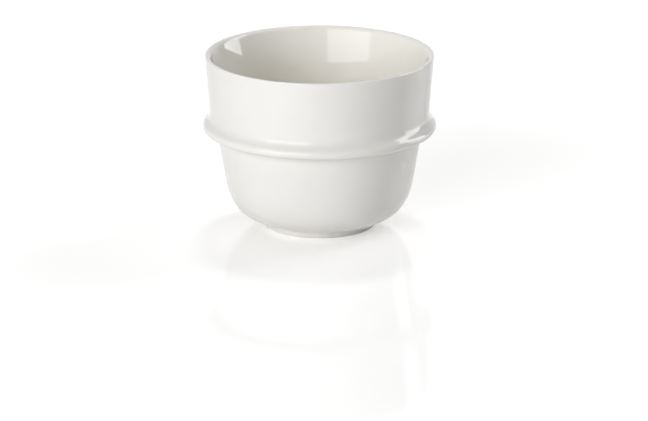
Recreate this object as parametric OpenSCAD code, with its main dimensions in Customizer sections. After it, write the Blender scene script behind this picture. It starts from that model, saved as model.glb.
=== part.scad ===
// Handleless porcelain cup with a raised bead round its middle and a low foot ring.
// Millimetres, +Z up, origin on the table at the cup's axis. Every sub-part is a
// solid of revolution, so its outline is drawn as [radius, height] points.
// The driving sizes are those of the finished, glazed surface.

/* [Cup] */
// Outer diameter over the lip
rim_d = 86; // [70:0.5:110]
// Height of the lip above the table
cup_h = 66; // [54:0.1:90]

/* [Upper wall] */
// Radius of the lip's outer edge
lip_out_r = 0.45; // [0.45:0.05:0.9]
// Radius of the lip's inner edge
lip_in_r = 1.8; // [0.8:0.1:2.2]
// Outward lean of the outside of the upper wall, degrees
band_lean = 4.3; // [1:0.1:7]
// Outward lean of the inside just below the lip, degrees
lip_lean = 17.8; // [10:0.1:22]

/* [Bead] */
// Height of the bead's widest line above the table
bead_h = 38.8; // [30:0.1:48]
// How far the bead stands out from the upper wall
bead_out = 3; // [2.3:0.1:4.5]
// Radius of the bead's rounded nose
nose_r = 2.1; // [1.6:0.05:2.6]
// Slope of the bead's upper flank from level, degrees
flank_slope = 40; // [30:1:55]
// Radius of the hollow between the upper wall and the bead
bead_fillet_r = 3.5; // [1:0.1:4]

/* [Bowl] */
// Width of the level ledge from the bead's widest line in to the bowl wall
ledge_w = 5.3; // [4:0.05:7]
// Radius of the hollow between the ledge and the bowl wall
ledge_fillet_r = 0.8; // [0.5:0.1:1.2]
// Outward lean of the bowl wall, degrees
bowl_lean = 9.5; // [4:0.1:14]
// Height at which the bowl wall starts to turn in towards the foot
bend_h = 18; // [15:0.5:25]
// Rise of the bowl's underside where it leaves the foot, degrees
under_rise = 14; // [8:1:20]
// Thickness of the bowl wall
bowl_t = 3.7; // [2.4:0.1:4.6]
// Thickness of the floor
floor_t = 3.2; // [2.4:0.1:5]

/* [Foot] */
// Outer diameter of the foot ring at the table
foot_d = 42.6; // [34:0.2:54]
// Outward lean of the foot's outside, degrees
foot_lean = 9; // [0:1:15]
// Height of the foot's outside, up to the bowl
foot_h = 2.4; // [1.8:0.1:3.5]
// Width of the foot ring at the table
foot_w = 3.2; // [2.4:0.1:5]
// Depth of the recess under the floor
recess_h = 1.9; // [1.4:0.1:3]
// Radius of the hollows beside the foot
foot_fillet_r = 0.7; // [0.4:0.1:1]
// Radius of the standing ring's edges
foot_edge_r = 0.5; // [0.3:0.1:0.8]

/* [Glaze] */
// Thickness of the fired glaze
glaze_t = 0.25; // [0.15:0.05:0.4]
// Height of the wiped, bare band at the bottom of the foot
bare_h = 0.9; // [0.6:0.1:1.2]

/* [Curves] */
// How closely the bowl's turn follows the wall's line, as a share of that line
wall_pull = 0.78; // [0.5:0.01:0.95]
// How closely it follows the underside's line
under_pull = 0.62; // [0.3:0.01:0.9]
// How far the lip's inside taper runs towards the bead, as a share of the upper wall
lip_pull = 0.6; // [0.2:0.01:0.65]
// How far the bowl's inside lean runs up towards the lip
waist_pull = 0.4; // [0.1:0.01:0.5]
// How closely the inside turn follows the wall and the floor
floor_pull = 0.65; // [0.4:0.01:0.8]

/* [Hidden] */
$fn = 128;
glaze_colour = [0.93, 0.92, 0.90];
clay_colour = [0.90, 0.88, 0.84];
// Largest turn between two points of an arc, degrees
arc_step = 7.5;
// Pieces of a free curve
curve_steps = 24;
// Straight wall kept between a fillet and the seam beside it
seam_gap = 0.6;
// Largest share of a short wall that a fillet beside it may take
fillet_share = 0.8;

function heading(angle) = [cos(angle), sin(angle)];
function unit(v) = v / norm(v);
function right_of(v) = [v[1], -v[0]];
function cross_2d(a, b) = a[0] * b[1] - a[1] * b[0];
function turn_angle(u, v) = acos(min(1, max(-1, u * v)));

// Where the line through p along u meets the line through q along v
function meet(p, u, q, v) = p + u * cross_2d(q - p, v) / cross_2d(u, v);

// The point at a height on the line through p along u
function at_height(p, u, height) = p + u * (height - p[1]) / u[1];

// A share of the way from p to q
function towards(p, q, share) = p + (q - p) * share;

function slice(path, first, last) = [for (i = [first : last]) path[i]];
function tail(path) = slice(path, 1, len(path) - 1);
function backwards(path) = [for (i = [len(path) - 1 : -1 : 0]) path[i]];

// An arc from one angle to another
function arc(centre, r, from, to) =
    let (steps = ceil(abs(to - from) / arc_step))
    [for (i = [0 : steps]) centre + r * heading(from + (to - from) * i / steps)];

// The straight that a fillet of radius r takes from each side of a turn
function fillet_reach(u, v, r) = r * tan(turn_angle(u, v) / 2);

// The arc of radius r that rounds a corner from heading u to heading v
function fillet(corner, u, v, r) =
    let (turn = sign(cross_2d(u, v)),
         side = -turn * right_of(u),
         start = atan2(-side[1], -side[0]))
    arc(corner - u * fillet_reach(u, v, r) + side * r, r, start, start + turn * turn_angle(u, v));

// A path from a plain point through corners [radius, height, fillet radius] to a plain point
function rounded(corners) =
    let (p = [for (c = corners) [c[0], c[1]]], last = len(p) - 1)
    [p[0],
     for (i = [1 : last - 1]) each fillet(p[i], unit(p[i] - p[i - 1]), unit(p[i + 1] - p[i]), corners[i][2]),
     p[last]];

function bezier(a, b, c, d) =
    [for (i = [0 : curve_steps])
        let (t = i / curve_steps, s = 1 - t)
        s * s * s * a + 3 * s * s * t * b + 3 * s * t * t * c + t * t * t * d];

// The path moved a distance to the right of its direction of travel
function beside(path, distance) =
    let (last = len(path) - 1)
    [for (i = [0 : last])
        let (u = unit(path[max(i, 1)] - path[max(i, 1) - 1]),
             v = unit(path[min(i + 1, last)] - path[min(i + 1, last) - 1]),
             middle = unit(u + v))
        path[i] + distance / (middle * u) * right_of(middle)];

// Headings of the straight walls, from the lip to the foot
band_down = heading(-90 - band_lean);
lip_down = heading(-90 - lip_lean);
bowl_down = heading(-90 - bowl_lean);
foot_down = heading(-90 - foot_lean);
flank_down = heading(-flank_slope);
under_in = heading(180 + under_rise);
level_in = [-1, 0];

// Outside of the upper wall, from the lip's crest to a seam just above the bead's hollow
crest_r = rim_d / 2 - lip_out_r;
lip_out_centre = [crest_r, cup_h - lip_out_r];
band_side = lip_out_centre + lip_out_r * heading(-band_lean);
bead_r = at_height(band_side, band_down, bead_h)[0] + bead_out;
flank_side = [bead_r - nose_r, bead_h] + nose_r * heading(90 - flank_slope);
bead_top = meet(band_side, band_down, flank_side, flank_down);
hollow_limit = norm(flank_side - bead_top) * fillet_share / fillet_reach(band_down, flank_down, 1);
hollow_r = min(bead_fillet_r, hollow_limit);
band_seam = bead_top - band_down * (fillet_reach(band_down, flank_down, hollow_r) + seam_gap);
band_path = concat(arc(lip_out_centre, lip_out_r, 90, -band_lean), [band_seam]);

// The bead: hollow, flank, nose and level ledge, to a seam just outside the ledge's hollow
ledge_z = bead_h - nose_r;
nose_corner = at_height(flank_side, flank_down, ledge_z);
ledge_end = [bead_r - ledge_w, ledge_z];
ledge_seam = ledge_end - level_in * (fillet_reach(level_in, bowl_down, ledge_fillet_r) + seam_gap);
bead_path = rounded([band_seam, [each bead_top, hollow_r], [each nose_corner, nose_r], ledge_seam]);

// The bowl, from the seam under the ledge to a seam just outside the foot's hollow
foot_side = [foot_d / 2, 0];
foot_corner = at_height(foot_side, foot_down, foot_h);
foot_seam = foot_corner - under_in * (fillet_reach(under_in, foot_down, foot_fillet_r) + seam_gap);
bend = at_height(ledge_end, bowl_down, bend_h);
bowl_corner = meet(bend, bowl_down, foot_seam, under_in);
bowl_path = concat(rounded([ledge_seam, [each ledge_end, ledge_fillet_r], bend]),
                   tail(bezier(bend, towards(bend, bowl_corner, wall_pull),
                               towards(foot_seam, bowl_corner, under_pull), foot_seam)));

// The foot's glazed outside, down to the bare band
foot_path = rounded([foot_seam, [each foot_corner, foot_fillet_r], at_height(foot_side, foot_down, bare_h)]);

// The glazed recess under the floor, from the bare band to the axis
recess_r = foot_d / 2 - foot_w;
recess_fillet_r = min(foot_fillet_r, (recess_h - bare_h) * fillet_share);
recess_path = rounded([[recess_r, bare_h], [recess_r, recess_h, recess_fillet_r], [0, recess_h]]);

// The inside, from the axis to the lip's crest: the flat floor, the round turn, the wall
// that keeps the bowl's thickness, the tapering upper wall and the lip's wide inner rounding
floor_edge = [recess_r - floor_t, recess_h + floor_t];
bowl_side = bend + bowl_t * right_of(bowl_down);
floor_corner = at_height(bowl_side, bowl_down, floor_edge[1]);
waist = at_height(bowl_side, bowl_down, bead_h);
lip_in_centre = [crest_r, cup_h - lip_in_r];
lip_side = lip_in_centre + lip_in_r * heading(180 - lip_lean);
taper = norm(lip_side - waist);
inside_path = concat(
    [[0, floor_edge[1]]],
    bezier(floor_edge, towards(floor_edge, floor_corner, floor_pull),
           towards(bowl_side, floor_corner, floor_pull), bowl_side),
    bezier(waist, waist - bowl_down * taper * waist_pull, lip_side + lip_down * taper * lip_pull, lip_side),
    tail(arc(lip_in_centre, lip_in_r, 180 - lip_lean, 90)));

// The glaze follows the inside, the lip and the outside in one path, with the clay under it
glazed = concat(inside_path, tail(band_path), tail(bead_path), tail(bowl_path), tail(foot_path));
clay = beside(glazed, glaze_t);
recess_clay = beside(recess_path, glaze_t);

// Where the path crosses the lip's crest and the seams between the clay pieces
crest_at = len(inside_path) - 1;
band_at = crest_at + len(band_path) - 1;
ledge_at = band_at + len(bead_path) - 1;
foot_at = ledge_at + len(bowl_path) - 1;
bare_at = foot_at + len(foot_path) - 1;
recess_at = len(recess_path) - 2;

// The bare foot: from the outside glaze, across the standing ring, to the recess glaze
stand_path = rounded([clay[bare_at], [each at_height(clay[bare_at], foot_down, 0), foot_edge_r],
                      [recess_clay[0][0], 0, foot_edge_r], recess_clay[0]]);

module turned(path) {
    rotate_extrude() polygon(path);
}

module glaze_coat(outer, inner) {
    color(glaze_colour) turned(concat(outer, backwards(inner)));
}

// Lip, wall, bowl and floor in one fired clay body
module cup_body() {
    color(clay_colour)
        turned(concat(slice(clay, 0, band_at), slice(clay, ledge_at, foot_at),
                      slice(recess_clay, recess_at, recess_at + 1)));
}

// Ring of clay luted round the shoulder between the upper wall and the bowl
module bead_ring() {
    color(clay_colour) turned(slice(clay, band_at, ledge_at));
}

// Foot luted under the bowl, bare on the standing ring
module foot_ring() {
    color(clay_colour)
        turned(concat(slice(clay, foot_at, bare_at), tail(stand_path), slice(recess_clay, 1, recess_at)));
}

// Coat of the cup's inside, up to the lip's crest
module inside_glaze() {
    glaze_coat(slice(glazed, 0, crest_at), slice(clay, 0, crest_at));
}

// Coat of the outside, from the lip's crest over the bead to the bare foot
module outside_glaze() {
    glaze_coat(slice(glazed, crest_at, bare_at), slice(clay, crest_at, bare_at));
}

// Coat of the recess inside the foot
module base_glaze() {
    glaze_coat(recess_path, recess_clay);
}

cup_body();
bead_ring();
foot_ring();
inside_glaze();
outside_glaze();
base_glaze();
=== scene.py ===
import math

import bpy
import numpy as np
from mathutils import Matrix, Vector


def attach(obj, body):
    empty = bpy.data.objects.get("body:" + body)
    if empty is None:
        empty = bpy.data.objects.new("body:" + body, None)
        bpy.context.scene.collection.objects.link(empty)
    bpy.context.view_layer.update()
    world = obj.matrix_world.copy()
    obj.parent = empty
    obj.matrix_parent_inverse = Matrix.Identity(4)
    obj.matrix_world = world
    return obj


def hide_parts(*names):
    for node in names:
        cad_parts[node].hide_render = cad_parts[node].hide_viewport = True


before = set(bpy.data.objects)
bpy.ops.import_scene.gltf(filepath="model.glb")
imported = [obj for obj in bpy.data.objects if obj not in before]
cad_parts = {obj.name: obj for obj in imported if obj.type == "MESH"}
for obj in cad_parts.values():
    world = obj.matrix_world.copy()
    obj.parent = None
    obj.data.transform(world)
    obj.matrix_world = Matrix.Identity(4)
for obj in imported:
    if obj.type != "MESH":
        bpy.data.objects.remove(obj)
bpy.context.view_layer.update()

MM = 0.001

# Sizes of the finished, glazed surface in millimetres and degrees, as in the part's source
RIM_D = 86.0
CUP_H = 66.0
LIP_OUT_R = 0.45
LIP_IN_R = 1.8
BAND_LEAN = 4.3
LIP_LEAN = 17.8
BEAD_H = 38.8
BEAD_OUT = 3.0
NOSE_R = 2.1
FLANK_SLOPE = 40.0
BEAD_FILLET_R = 3.5
LEDGE_W = 5.3
LEDGE_FILLET_R = 0.8
BOWL_LEAN = 9.5
BEND_H = 18.0
UNDER_RISE = 14.0
BOWL_T = 3.7
FLOOR_T = 3.2
FOOT_D = 42.6
FOOT_LEAN = 9.0
FOOT_H = 2.4
FOOT_W = 3.2
RECESS_H = 1.9
FOOT_FILLET_R = 0.7
GLAZE_T = 0.25
BARE_H = 0.9
SEAM_GAP = 0.6
# Shares: how full each curve is at either end, and how much of the recess's height its fillet may take
WALL_PULL = 0.78
UNDER_PULL = 0.62
LIP_PULL = 0.6
WAIST_PULL = 0.4
FLOOR_PULL = 0.65
FILLET_SHARE = 0.8

# Fineness of the turned meshes: segments round the cup, steps of a curve and the longest straight step
SEGMENTS = 192
CURVE_STEPS = 48
LONGEST_STEP = 1.6
# Steps along an arc and round a coat's edge, and the least angle of a sharp edge, in degrees
ARC_STEP = 4.0
EDGE_STEP = 15
SHARP_ANGLE = 35.0

# How far the glaze's lower edges wander up and down, in waves of so many turns round the cup
GLAZE_EDGE_WANDER = 0.12
WANDER_TURNS = (2, 3, 5, 8, 13)
FOOT_EDGE_SEED = 3
RECESS_EDGE_SEED = 8
# How round those edges are
GLAZE_EDGE_R = 0.22
# Length of wall over which a hollow or a ridge changes the glaze beside it: painted shade beside hollows,
# painted highlight beside ridges
HOLLOWNESS_REACH = 1.2


# Outlines

def heading(angle):
    return np.array([math.cos(math.radians(angle)), math.sin(math.radians(angle))])


def unit(v):
    return v / np.linalg.norm(v)


def right_of(v):
    return np.array([v[1], -v[0]])


def cross_2d(a, b):
    return a[0] * b[1] - a[1] * b[0]


def turn_angle(u, v):
    return math.degrees(math.acos(min(1.0, max(-1.0, float(u @ v)))))


def meet(p, u, q, v):
    """Where the line through p along u meets the line through q along v."""
    return p + u * cross_2d(q - p, v) / cross_2d(u, v)


def at_height(p, u, height):
    """The point at a height on the line through p along u."""
    return p + u * (height - p[1]) / u[1]


def towards(p, q, share):
    return p + (q - p) * share


def arc(centre, r, start, end):
    steps = max(2, math.ceil(abs(end - start) / ARC_STEP))
    return [centre + r * heading(start + (end - start) * i / steps) for i in range(steps + 1)]


def fillet_reach(u, v, r):
    return r * math.tan(math.radians(turn_angle(u, v)) / 2)


def fillet(corner, u, v, r):
    """The arc of radius r that rounds a corner from heading u to heading v."""
    turn = math.copysign(1.0, cross_2d(u, v))
    side = -turn * right_of(u)
    start = math.degrees(math.atan2(-side[1], -side[0]))
    return arc(corner - u * fillet_reach(u, v, r) + side * r, r, start, start + turn * turn_angle(u, v))


def rounded(first, corners, last):
    """A path through corners (point, fillet radius) between two plain points."""
    points = [first] + [c[0] for c in corners] + [last]
    path = [first]
    for i, (_, r) in enumerate(corners, start=1):
        path += fillet(points[i], unit(points[i] - points[i - 1]), unit(points[i + 1] - points[i]), r)
    return path + [last]


def bezier(a, b, c, d):
    out = []
    for i in range(CURVE_STEPS + 1):
        t = i / CURVE_STEPS
        s = 1 - t
        out.append(s * s * s * a + 3 * s * s * t * b + 3 * s * t * t * c + t * t * t * d)
    return out


def stepped(path):
    """The path with its long straight runs divided."""
    out = [path[0]]
    for p in path[1:]:
        q = out[-1]
        n = max(1, math.ceil(np.linalg.norm(p - q) / LONGEST_STEP))
        out += [q + (p - q) * i / n for i in range(1, n + 1)]
    return out


def cup_paths():
    """The (radius, height) paths of the inside, the outside and the recess,
    and the foot's downward heading."""
    band_down = heading(-90 - BAND_LEAN)
    lip_down = heading(-90 - LIP_LEAN)
    bowl_down = heading(-90 - BOWL_LEAN)
    foot_down = heading(-90 - FOOT_LEAN)
    flank_down = heading(-FLANK_SLOPE)
    under_in = heading(180 + UNDER_RISE)

    crest_r = RIM_D / 2 - LIP_OUT_R
    lip_out_centre = np.array([crest_r, CUP_H - LIP_OUT_R])
    lip_in_centre = np.array([crest_r, CUP_H - LIP_IN_R])
    band_side = lip_out_centre + LIP_OUT_R * heading(-BAND_LEAN)
    bead_r = at_height(band_side, band_down, BEAD_H)[0] + BEAD_OUT
    flank_side = np.array([bead_r - NOSE_R, BEAD_H]) + NOSE_R * heading(90 - FLANK_SLOPE)
    bead_top = meet(band_side, band_down, flank_side, flank_down)
    ledge_z = BEAD_H - NOSE_R
    nose_corner = at_height(flank_side, flank_down, ledge_z)
    ledge_end = np.array([bead_r - LEDGE_W, ledge_z])
    bend = at_height(ledge_end, bowl_down, BEND_H)

    foot_side = np.array([FOOT_D / 2, 0.0])
    foot_corner = at_height(foot_side, foot_down, FOOT_H)
    foot_reach = fillet_reach(under_in, foot_down, FOOT_FILLET_R) + SEAM_GAP
    foot_seam = foot_corner - under_in * foot_reach
    bowl_corner = meet(bend, bowl_down, foot_seam, under_in)
    glaze_end = at_height(foot_side, foot_down, BARE_H)

    outside = arc(lip_out_centre, LIP_OUT_R, 90, -BAND_LEAN)
    outside += rounded(outside[-1], [(bead_top, BEAD_FILLET_R), (nose_corner, NOSE_R),
                                     (ledge_end, LEDGE_FILLET_R)], bend)[1:]
    outside += bezier(bend, towards(bend, bowl_corner, WALL_PULL),
                      towards(foot_seam, bowl_corner, UNDER_PULL), foot_seam)[1:]
    outside += rounded(foot_seam, [(foot_corner, FOOT_FILLET_R)], glaze_end)[1:]

    recess_r = FOOT_D / 2 - FOOT_W
    recess_fillet_r = min(FOOT_FILLET_R, (RECESS_H - BARE_H) * FILLET_SHARE)
    recess = rounded(np.array([recess_r, BARE_H]), [(np.array([recess_r, RECESS_H]), recess_fillet_r)],
                     np.array([0.0, RECESS_H]))

    floor_edge = np.array([recess_r - FLOOR_T, RECESS_H + FLOOR_T])
    bowl_side = bend + BOWL_T * right_of(bowl_down)
    floor_corner = at_height(bowl_side, bowl_down, floor_edge[1])
    waist = at_height(bowl_side, bowl_down, BEAD_H)
    lip_side = lip_in_centre + LIP_IN_R * heading(180 - LIP_LEAN)
    taper = np.linalg.norm(lip_side - waist)
    inside = [np.array([0.0, floor_edge[1]])]
    inside += bezier(floor_edge, towards(floor_edge, floor_corner, FLOOR_PULL),
                     towards(bowl_side, floor_corner, FLOOR_PULL), bowl_side)
    inside += bezier(waist, waist - bowl_down * taper * WAIST_PULL,
                     lip_side + lip_down * taper * LIP_PULL, lip_side)
    inside += arc(lip_in_centre, LIP_IN_R, 180 - LIP_LEAN, 90)[1:]
    return stepped(inside), stepped(outside), stepped(recess), foot_down


def path_normals(path):
    """Unit normals to the left of a path, smooth along it."""
    p = np.array(path)
    steps = p[1:] - p[:-1]
    steps /= np.linalg.norm(steps, axis=1)[:, None]
    tangents = np.vstack([steps[:1], steps[1:] + steps[:-1], steps[-1:]])
    tangents /= np.linalg.norm(tangents, axis=1)[:, None]
    return np.stack([-tangents[:, 1], tangents[:, 0]], axis=1)


def path_hollowness(path):
    """How hollow (1) or ridged (-1) the surface is along a path, smoothed over the reach of the glaze's
    painted shade and highlight.
    """
    p = np.array(path)
    steps = p[1:] - p[:-1]
    lengths = np.linalg.norm(steps, axis=1)
    at = np.concatenate([[0.0], np.cumsum(lengths)])
    angles = np.unwrap(np.arctan2(steps[:, 1], steps[:, 0]))
    turns = np.concatenate([[0.0], np.diff(angles), [0.0]])
    near = np.exp(-(((at[:, None] - at[None, :]) / HOLLOWNESS_REACH) ** 2))
    return np.clip(near @ turns, -1.0, 1.0)


# Turned meshes

ANGLES = np.arange(SEGMENTS) * 2 * math.pi / SEGMENTS


def wander(seed):
    """A slow, closed wave round the cup, between about -1 and 1."""
    rng = np.random.default_rng(seed)
    wave = np.zeros_like(ANGLES)
    for turns in WANDER_TURNS:
        wave += rng.normal() / math.sqrt(turns) * np.cos(turns * ANGLES + rng.uniform(0, 2 * math.pi))
    return wave / np.abs(wave).max()


def turned_piece(name, front, front_normals, hollowness, back, slip, material):
    """A closed coat or ring: its shown face follows the front path and its hidden face the back path,
    which runs from the front's last point to its first. slip is an array (front and back points,
    segments, 2) that moves the points of each segment in their own radial plane."""
    path = np.array(list(front) + list(back))
    spread = path[:, None, :] + slip
    at_axis = np.isclose(path[:, 0], 0.0)
    verts, first = [], []
    for ring, centred in zip(spread, at_axis):
        first.append(len(verts))
        if centred:
            verts.append((0.0, 0.0, float(ring[0, 1]) * MM))
            continue
        for (r, z), a in zip(ring, ANGLES):
            verts.append((r * math.cos(a) * MM, r * math.sin(a) * MM, z * MM))

    faces, shown = [], []
    count = len(path)
    for i in range(count):
        j = (i + 1) % count
        if at_axis[i] and at_axis[j]:
            continue
        for k in range(SEGMENTS):
            n = (k + 1) % SEGMENTS
            if at_axis[i]:
                faces.append((first[i], first[j] + k, first[j] + n))
            elif at_axis[j]:
                faces.append((first[i] + k, first[j], first[i] + n))
            else:
                faces.append((first[i] + k, first[j] + k, first[j] + n, first[i] + n))
            shown.append(j == i + 1 and j < len(front))

    mesh = bpy.data.meshes.new(name)
    mesh.from_pydata(verts, [], faces)
    mesh.polygons.foreach_set("use_smooth", [True] * len(faces))
    mesh.materials.append(material)
    mesh.set_sharp_from_angle(angle=math.radians(SHARP_ANGLE))

    ring_of = np.zeros(len(verts), dtype=int)
    for i, start in enumerate(first):
        ring_of[start:] = i
    # Hollowness of each ring: the glaze turns it into painted shade in hollows and painted highlight over
    # ridges
    levels = np.concatenate([hollowness, np.zeros(len(back))])
    mesh.attributes.new("hollowness", "FLOAT", "POINT").data.foreach_set("value", levels[ring_of])

    normals = np.zeros((len(mesh.loops), 3))
    vertex_of = np.zeros(len(mesh.loops), dtype=int)
    mesh.loops.foreach_get("vertex_index", vertex_of)
    for polygon, lit in zip(mesh.polygons, shown):
        if not lit:
            continue
        for loop in polygon.loop_indices:
            v = vertex_of[loop]
            i = ring_of[v]
            a = 0.0 if at_axis[i] else ANGLES[v - first[i]]
            n = front_normals[i]
            normals[loop] = (n[0] * math.cos(a), n[0] * math.sin(a), n[1])
    mesh.normals_split_custom_set(normals.tolist())

    obj = bpy.data.objects.new(name, mesh)
    bpy.context.scene.collection.objects.link(obj)
    return obj


# Material nodes

# Places of the colour sockets of a Mix node
MIX_A, MIX_B, MIX_RESULT = 6, 7, 2


def new_material(name):
    material = bpy.data.materials.new(name)
    material.use_nodes = True
    nodes = material.node_tree.nodes
    return material, nodes, material.node_tree.links, nodes["Principled BSDF"]


def add_node(nodes, kind, **values):
    node = nodes.new(kind)
    for key, value in values.items():
        setattr(node, key, value)
    return node


def noise(nodes, links, coordinates, scale, detail, roughness=0.5):
    node = add_node(nodes, "ShaderNodeTexNoise")
    node.inputs["Scale"].default_value = scale
    node.inputs["Detail"].default_value = detail
    node.inputs["Roughness"].default_value = roughness
    links.new(coordinates, node.inputs["Vector"])
    return node.outputs["Fac"]


def map_range(nodes, links, value, source, target):
    """The value, mapped smoothly from the source range (low, high) to the target range."""
    node = add_node(nodes, "ShaderNodeMapRange", interpolation_type="SMOOTHSTEP")
    node.inputs["From Min"].default_value, node.inputs["From Max"].default_value = source
    node.inputs["To Min"].default_value, node.inputs["To Max"].default_value = target
    links.new(value, node.inputs["Value"])
    return node.outputs["Result"]


def math_node(nodes, links, operation, a, b):
    node = add_node(nodes, "ShaderNodeMath", operation=operation)
    for socket, value in zip(node.inputs, (a, b)):
        if isinstance(value, float):
            socket.default_value = value
        else:
            links.new(value, socket)
    return node.outputs["Value"]


def mix_colour(nodes, links, factor, a, b):
    node = add_node(nodes, "ShaderNodeMix", data_type="RGBA")
    links.new(factor, node.inputs["Factor"])
    for socket, value in ((node.inputs[MIX_A], a), (node.inputs[MIX_B], b)):
        if isinstance(value, tuple):
            socket.default_value = (*value, 1.0)
        else:
            links.new(value, socket)
    return node.outputs[MIX_RESULT]


def bump(nodes, links, height, depth, normal=None):
    """A relief of a depth in millimetres, over another one's normal if that is given."""
    node = add_node(nodes, "ShaderNodeBump")
    node.inputs["Strength"].default_value = 1.0
    node.inputs["Distance"].default_value = depth * MM
    links.new(height, node.inputs["Height"])
    if normal is not None:
        links.new(normal, node.inputs["Normal"])
    return node.outputs["Normal"]


# Glaze

# Contrast of the clouds in glaze and clay, and of the slow change of the glaze's gloss
CLOUD_RANGE = (0.3, 0.7)
GLOSS_RANGE = (0.25, 0.75)
CLOUD_SCALE = 32.0
GLOSS_SCALE = 75.0
GLAZE_ROUGHNESS = (0.018, 0.036)
GLAZE_IOR = 1.52
# Tones of the glaze in hollows (thicker glaze, and painted shade), over ridges (thinner glaze, and painted
# highlight) and in specks, and how far each takes over
HOLLOW_GLAZE_AND_SHADE_TONE = (0.8, 0.795, 0.757)
HOLLOW_GLAZE_AND_SHADE_RANGE = (0.05, 0.9)
HOLLOW_GLAZE_AND_SHADE_SHARE = 0.45
RIDGE_GLAZE_AND_HIGHLIGHT_TONE = (0.885, 0.862, 0.813)
RIDGE_GLAZE_AND_HIGHLIGHT_RANGE = (-0.9, -0.05)
RIDGE_GLAZE_AND_HIGHLIGHT_SHARE = 0.35
SPECK_TONE = (0.46, 0.4, 0.32)
SPECK_STRENGTH = 0.3
# Specks: cells per metre, radius of a speck in cells, share of the cells that hold one and its fade
SPECK_SCALE = 170.0
SPECK_R = 0.028
SPECK_SHARE = 0.1
SPECK_FADE = 0.9
# Relief of the glaze: scale of its slow waves and fine ripples, depths in millimetres
WAVE_SCALE = 110.0
WAVE_DEPTH = 0.022
RIPPLE_SCALE = 900.0
RIPPLE_DEPTH = 0.0012
PIT_DEPTH = 0.008


def specks(nodes, links, coordinates):
    """Small round spots: a share of the cells of a cell pattern holds one each."""
    cells = add_node(nodes, "ShaderNodeTexVoronoi")
    cells.inputs["Scale"].default_value = SPECK_SCALE
    links.new(coordinates, cells.inputs["Vector"])
    pick = add_node(nodes, "ShaderNodeSeparateColor")
    links.new(cells.outputs["Color"], pick.inputs["Color"])
    spot = map_range(nodes, links, cells.outputs["Distance"], (SPECK_R / 2, SPECK_R), (1.0, 0.0))
    chosen = map_range(nodes, links, pick.outputs["Red"],
                       (SPECK_SHARE * SPECK_FADE, SPECK_SHARE), (1.0, 0.0))
    return math_node(nodes, links, "MULTIPLY", spot, chosen)


def glaze_material(name, dense, clear):
    """Glossy, faintly warm white glaze, clouded between two tones: thin and clearer over ridges, thicker and
    cooler in hollows, with painted highlight lightening the ridges and painted shade darkening the hollows."""
    material, nodes, links, shader = new_material(name)
    where = add_node(nodes, "ShaderNodeTexCoord").outputs["Object"]
    hollowness = add_node(nodes, "ShaderNodeAttribute", attribute_name="hollowness").outputs["Fac"]

    cloud = noise(nodes, links, where, CLOUD_SCALE, detail=3.0)
    colour = mix_colour(nodes, links, map_range(nodes, links, cloud, CLOUD_RANGE, (0.0, 1.0)),
                        dense, clear)
    # Thicker, cooler glaze in hollows, darkened as painted shade
    hollow = map_range(nodes, links, hollowness, HOLLOW_GLAZE_AND_SHADE_RANGE, (0.0, HOLLOW_GLAZE_AND_SHADE_SHARE))
    colour = mix_colour(nodes, links, hollow, colour, HOLLOW_GLAZE_AND_SHADE_TONE)
    # Thinner, warmer glaze over ridges, lightened as painted highlight
    ridge = map_range(nodes, links, hollowness, RIDGE_GLAZE_AND_HIGHLIGHT_RANGE, (RIDGE_GLAZE_AND_HIGHLIGHT_SHARE, 0.0))
    colour = mix_colour(nodes, links, ridge, colour, RIDGE_GLAZE_AND_HIGHLIGHT_TONE)
    spot = specks(nodes, links, where)
    faint_spot = math_node(nodes, links, "MULTIPLY", spot, SPECK_STRENGTH)
    colour = mix_colour(nodes, links, faint_spot, colour, SPECK_TONE)
    links.new(colour, shader.inputs["Base Color"])

    gloss = noise(nodes, links, where, GLOSS_SCALE, detail=2.0)
    links.new(map_range(nodes, links, gloss, GLOSS_RANGE, GLAZE_ROUGHNESS), shader.inputs["Roughness"])
    shader.inputs["IOR"].default_value = GLAZE_IOR

    slow = noise(nodes, links, where, WAVE_SCALE, detail=1.0)
    fine = noise(nodes, links, where, RIPPLE_SCALE, detail=2.0)
    pits = math_node(nodes, links, "MULTIPLY", spot, -1.0)
    relief = bump(nodes, links, slow, WAVE_DEPTH)
    relief = bump(nodes, links, fine, RIPPLE_DEPTH, relief)
    relief = bump(nodes, links, pits, PIT_DEPTH, relief)
    links.new(relief, shader.inputs["Normal"])
    return material


# Bare porcelain

CLAY_TONES = ((0.8, 0.778, 0.715), (0.86, 0.84, 0.782))
CLAY_SCALE = 140.0
CLAY_ROUGHNESS = (0.58, 0.76)
CLAY_IOR = 1.5
# Scuffs on the standing face, up to a height in millimetres
SCUFF_TONE = (0.5, 0.47, 0.43)
SCUFF_SCALE = 420.0
SCUFF_RANGE = (0.42, 0.66)
SCUFF_SHARE = 0.55
SCUFF_H = 0.35
SCUFF_DEPTH = 0.01
GRAIN_SCALE = 3200.0
GRAIN_DEPTH = 0.02


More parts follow.
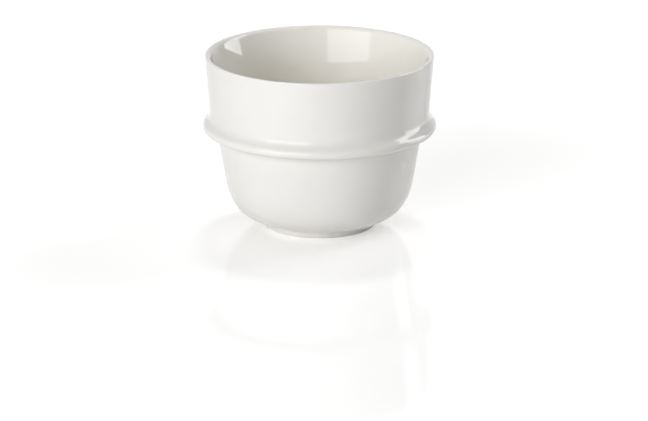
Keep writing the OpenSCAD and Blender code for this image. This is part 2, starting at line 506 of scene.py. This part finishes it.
def porcelain_material():
    """Fired clay, bare of glaze: matte, faintly grainy, rubbed a little grey where it stands."""
    material, nodes, links, shader = new_material("porcelain")
    where = add_node(nodes, "ShaderNodeTexCoord").outputs["Object"]

    cloud = noise(nodes, links, where, CLAY_SCALE, detail=4.0)
    colour = mix_colour(nodes, links, map_range(nodes, links, cloud, CLOUD_RANGE, (0.0, 1.0)), *CLAY_TONES)
    height = add_node(nodes, "ShaderNodeSeparateXYZ")
    links.new(where, height.inputs["Vector"])
    low = map_range(nodes, links, height.outputs["Z"], (0.0, SCUFF_H * MM), (1.0, 0.0))
    marks = noise(nodes, links, where, SCUFF_SCALE, detail=5.0, roughness=0.65)
    scuffs = map_range(nodes, links, marks, SCUFF_RANGE, (0.0, SCUFF_SHARE))
    worn = math_node(nodes, links, "MULTIPLY", low, scuffs)
    colour = mix_colour(nodes, links, worn, colour, SCUFF_TONE)
    links.new(colour, shader.inputs["Base Color"])

    links.new(map_range(nodes, links, cloud, GLOSS_RANGE, CLAY_ROUGHNESS), shader.inputs["Roughness"])
    shader.inputs["IOR"].default_value = CLAY_IOR

    grain = noise(nodes, links, where, GRAIN_SCALE, detail=3.0)
    relief = bump(nodes, links, grain, GRAIN_DEPTH)
    relief = bump(nodes, links, scuffs, SCUFF_DEPTH, relief)
    links.new(relief, shader.inputs["Normal"])
    return material


# The glaze inside the cup is a lighter, warmer copy of the outside glaze: painted light and painted warm
# bounce light inside the cup
GLAZE = glaze_material("glaze", (0.854, 0.832, 0.791), (0.878, 0.859, 0.822))
INSIDE_GLAZE_PAINTED_LIGHT = glaze_material("inside_glaze_painted_light", (0.884, 0.857, 0.789), (0.906, 0.881, 0.815))
PORCELAIN = porcelain_material()

# Pieces: three coats of glaze, over clay that is set back from the glazed surface

inside, outside, recess, foot_down = cup_paths()
crest = len(inside) - 1
glazed = inside + outside[1:]
glazed_normals = path_normals(glazed)
glazed_hollowness = path_hollowness(glazed)
clay = np.array(glazed) - GLAZE_T * glazed_normals
recess_clay = np.array(recess) - GLAZE_T * path_normals(recess)


def coat_edge(surface, under, down):
    """Points that round off a coat's edge, from its surface down to where it ends on the clay."""
    turns = [math.radians(a) for a in range(0, 90 + 1, EDGE_STEP)]
    return [under + (surface - under) * math.cos(a) - down * GLAZE_EDGE_R * (1 - math.sin(a)) for a in turns]


def no_slip(front, back):
    return np.zeros((len(front) + len(back), SEGMENTS, 2))


def edge_share(front, back, top):
    """How much of the lower edge's wander each point takes: all at the edge, none from the top up."""
    heights = np.array([p[1] for p in list(front) + list(back)])
    return np.clip(1 - (heights - BARE_H) / (top - BARE_H), 0, 1) ** 2


def build_inside_glaze():
    front = glazed[:crest + 1]
    back = clay[crest::-1]
    # The inside coat takes the lighter, warmer glaze copy: painted light inside the cup
    return turned_piece("inside_glaze_coat", front, glazed_normals[:crest + 1], glazed_hollowness[:crest + 1],
                        back, no_slip(front, back), INSIDE_GLAZE_PAINTED_LIGHT)


def build_outside_glaze():
    front = glazed[crest:-1] + coat_edge(glazed[-1], clay[-1], foot_down)
    back = clay[-2:crest - 1:-1]
    normals = path_normals(front)
    normals[0] = glazed_normals[crest]
    wave = GLAZE_EDGE_WANDER * wander(FOOT_EDGE_SEED)
    slip = edge_share(front, back, FOOT_H)[:, None, None] * wave[None, :, None] * foot_down[None, None, :]
    return turned_piece("outside_glaze_coat", front, normals, path_hollowness(front), back, slip, GLAZE)


def build_base_glaze():
    front = coat_edge(recess[0], recess_clay[0], np.array([0.0, -1.0]))[::-1] + recess[1:]
    back = recess_clay[:0:-1]
    wave = GLAZE_EDGE_WANDER * wander(RECESS_EDGE_SEED)
    slip = no_slip(front, back)
    slip[:, :, 1] += edge_share(front, back, RECESS_H)[:, None] * wave[None, :]
    return turned_piece("base_glaze_coat", front, path_normals(front), path_hollowness(front), back, slip, GLAZE)


for build, node in ((build_inside_glaze, "inside_glaze"), (build_outside_glaze, "outside_glaze"),
                    (build_base_glaze, "base_glaze")):
    piece = build()
    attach(piece, "root")
    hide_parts(node)

for node in ("cup_body", "bead_ring", "foot_ring"):
    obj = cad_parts[node]
    obj.data.materials.clear()
    obj.data.materials.append(PORCELAIN)

# Studio, in metres and degrees

# The camera looks at the cup from the front and above, from far enough for a long lens
CAMERA_PITCH = 16.82
CAMERA_DISTANCE = 1.8
CAMERA_TARGET = Vector((0.00166, 0.0, 0.0046))
IMAGE_WIDTH = 648
FOCAL_PIXELS = 4748.0
SENSOR_WIDTH = 36.0

# The table: how much white it adds for the rays that show it, near the cup and from LIFT_FULL on
FLOOR_HALF = 8.0
FLOOR_TONE = (0.84, 0.831, 0.811)
FLOOR_ROUGHNESS = 0.075
FLOOR_IOR = 1.5
FLOOR_LIFT = 0.36
FAR_LIFT = 0.375
LIFT_FROM = 0.08
LIFT_FULL = 0.2

# The room: strength of the ceiling, heights of a direction between which it fades in, and the rest
CEILING = 0.42
CEILING_FROM = 0.7
CEILING_FULL = 0.85
ROOM = 0.01
BACKDROP = 1.0
WHITE = (1.0, 1.0, 1.0, 1.0)

# Softboxes: those that light stand far off, those that are only mirrored stand close to the cup
DAYLIGHT = (0.985, 0.995, 1.02)
LAMP_DISTANCE = 3.0
SHEEN_DISTANCE = 0.938
SHEEN_ELEVATION = 28.5
SHEEN_HEIGHT = 0.875


def studio_point(azimuth, elevation, distance):
    """A point round the cup: azimuth from the camera's side towards its right, in degrees."""
    a, e = math.radians(azimuth), math.radians(elevation)
    return Vector((math.sin(a) * math.cos(e), -math.cos(a) * math.cos(e), math.sin(e))) * distance


def softbox(name, azimuth, elevation, width, height, radiance,
            distance=LAMP_DISTANCE, upright=False, lights=True, mirrored=True):
    """A lamp that faces the cup, or stands upright beside it. It lights, is mirrored, or both."""
    lamp = bpy.data.lights.new(name, "AREA")
    lamp.shape = "RECTANGLE"
    lamp.size = width
    lamp.size_y = height
    lamp.energy = radiance * math.pi * width * height
    lamp.color = DAYLIGHT
    obj = bpy.data.objects.new(name, lamp)
    obj.location = studio_point(azimuth, elevation, distance)
    facing = -obj.location
    if upright:
        facing.z = 0.0
    obj.rotation_euler = facing.to_track_quat("-Z", "Y").to_euler()
    obj.visible_camera = False
    obj.visible_diffuse = lights
    obj.visible_glossy = mirrored
    bpy.context.scene.collection.objects.link(obj)
    return obj


def sheen_box(name, floor, state, azimuth, width, radiance):
    """A softbox that is only mirrored: by the floor alone (INCLUDE), or by all but the floor (EXCLUDE)."""
    lamp = softbox(name, azimuth, SHEEN_ELEVATION, width, SHEEN_HEIGHT, radiance,
                   distance=SHEEN_DISTANCE, upright=True, lights=False)
    group = bpy.data.collections.new(name + "_receivers")
    group.objects.link(floor)
    group.collection_objects[0].light_linking.link_state = state
    lamp.light_linking.receiver_collection = group


def seen_rays(nodes, links):
    """1 for rays that show the background: straight from the camera, mirrored or through glass."""
    path = add_node(nodes, "ShaderNodeLightPath")
    both = math_node(nodes, links, "MAXIMUM", path.outputs["Is Camera Ray"], path.outputs["Is Glossy Ray"])
    return math_node(nodes, links, "MAXIMUM", both, path.outputs["Is Transmission Ray"])


def stage_floor():
    """A large, smooth white table that mirrors the cup a little and shows white where no shadow falls."""
    mesh = bpy.data.meshes.new("floor")
    corners = [(x * FLOOR_HALF, y * FLOOR_HALF, 0) for x, y in ((-1, -1), (1, -1), (1, 1), (-1, 1))]
    mesh.from_pydata(corners, [], [(0, 1, 2, 3)])
    material, nodes, links, shader = new_material("floor")
    shader.inputs["Base Color"].default_value = (*FLOOR_TONE, 1.0)
    shader.inputs["Roughness"].default_value = FLOOR_ROUGHNESS
    shader.inputs["IOR"].default_value = FLOOR_IOR
    reach = add_node(nodes, "ShaderNodeVectorMath", operation="LENGTH")
    links.new(add_node(nodes, "ShaderNodeTexCoord").outputs["Object"], reach.inputs["Vector"])
    lift = map_range(nodes, links, reach.outputs["Value"], (LIFT_FROM, LIFT_FULL), (FLOOR_LIFT, FAR_LIFT))
    seen_lift = math_node(nodes, links, "MULTIPLY", seen_rays(nodes, links), lift)
    links.new(seen_lift, shader.inputs["Emission Strength"])
    shader.inputs["Emission Color"].default_value = WHITE
    mesh.materials.append(material)
    obj = bpy.data.objects.new("floor", mesh)
    bpy.context.scene.collection.objects.link(obj)
    return obj


def stage_world():
    """A soft ceiling over a dim room, shown as plain white behind the cup and in its glaze."""
    world = bpy.data.worlds.new("studio")
    bpy.context.scene.world = world
    world.use_nodes = True
    nodes, links = world.node_tree.nodes, world.node_tree.links
    background = nodes["Background"]
    background.inputs["Color"].default_value = WHITE
    direction = add_node(nodes, "ShaderNodeSeparateXYZ")
    links.new(add_node(nodes, "ShaderNodeTexCoord").outputs["Generated"], direction.inputs["Vector"])
    ceiling = map_range(nodes, links, direction.outputs["Z"], (CEILING_FROM, CEILING_FULL), (ROOM, CEILING))
    strength = add_node(nodes, "ShaderNodeMix")
    links.new(seen_rays(nodes, links), strength.inputs["Factor"])
    links.new(ceiling, strength.inputs["A"])
    strength.inputs["B"].default_value = BACKDROP
    links.new(strength.outputs["Result"], background.inputs["Strength"])


def stage_lamps(floor):
    """Daylight from the front left, less from the right rear and from above behind the cup."""
    softbox("key", azimuth=-33.5, elevation=18.2, width=2.6, height=1.85, radiance=2.35, upright=True)
    softbox("fill", azimuth=-34.0, elevation=22.5, width=2.6, height=2.05, radiance=2.74,
            upright=True, mirrored=False)
    softbox("side", azimuth=122.0, elevation=31.0, width=1.4, height=1.6, radiance=4.05, mirrored=False)
    sheen_box("side_sheen", floor, "EXCLUDE", azimuth=110.2, width=0.375, radiance=4.35)
    sheen_box("table_sheen", floor, "INCLUDE", azimuth=112.7, width=0.451, radiance=3.8)
    sheen_box("table_sheen_far", floor, "INCLUDE", azimuth=133.5, width=0.159, radiance=1.6)
    softbox("top", azimuth=176.0, elevation=63.0, width=0.4, height=0.4, radiance=31.0, mirrored=False)


def stage_camera():
    data = bpy.data.cameras.new("camera")
    data.sensor_width = SENSOR_WIDTH
    data.lens = FOCAL_PIXELS / IMAGE_WIDTH * SENSOR_WIDTH
    camera = bpy.data.objects.new("camera", data)
    camera.location = CAMERA_TARGET + studio_point(0.0, CAMERA_PITCH, CAMERA_DISTANCE)
    camera.rotation_euler = (math.radians(90 - CAMERA_PITCH), 0.0, 0.0)
    bpy.context.scene.collection.objects.link(camera)
    bpy.context.scene.camera = camera


stage_lamps(stage_floor())
stage_world()
stage_camera()
bpy.context.scene.view_settings.view_transform = "Standard"
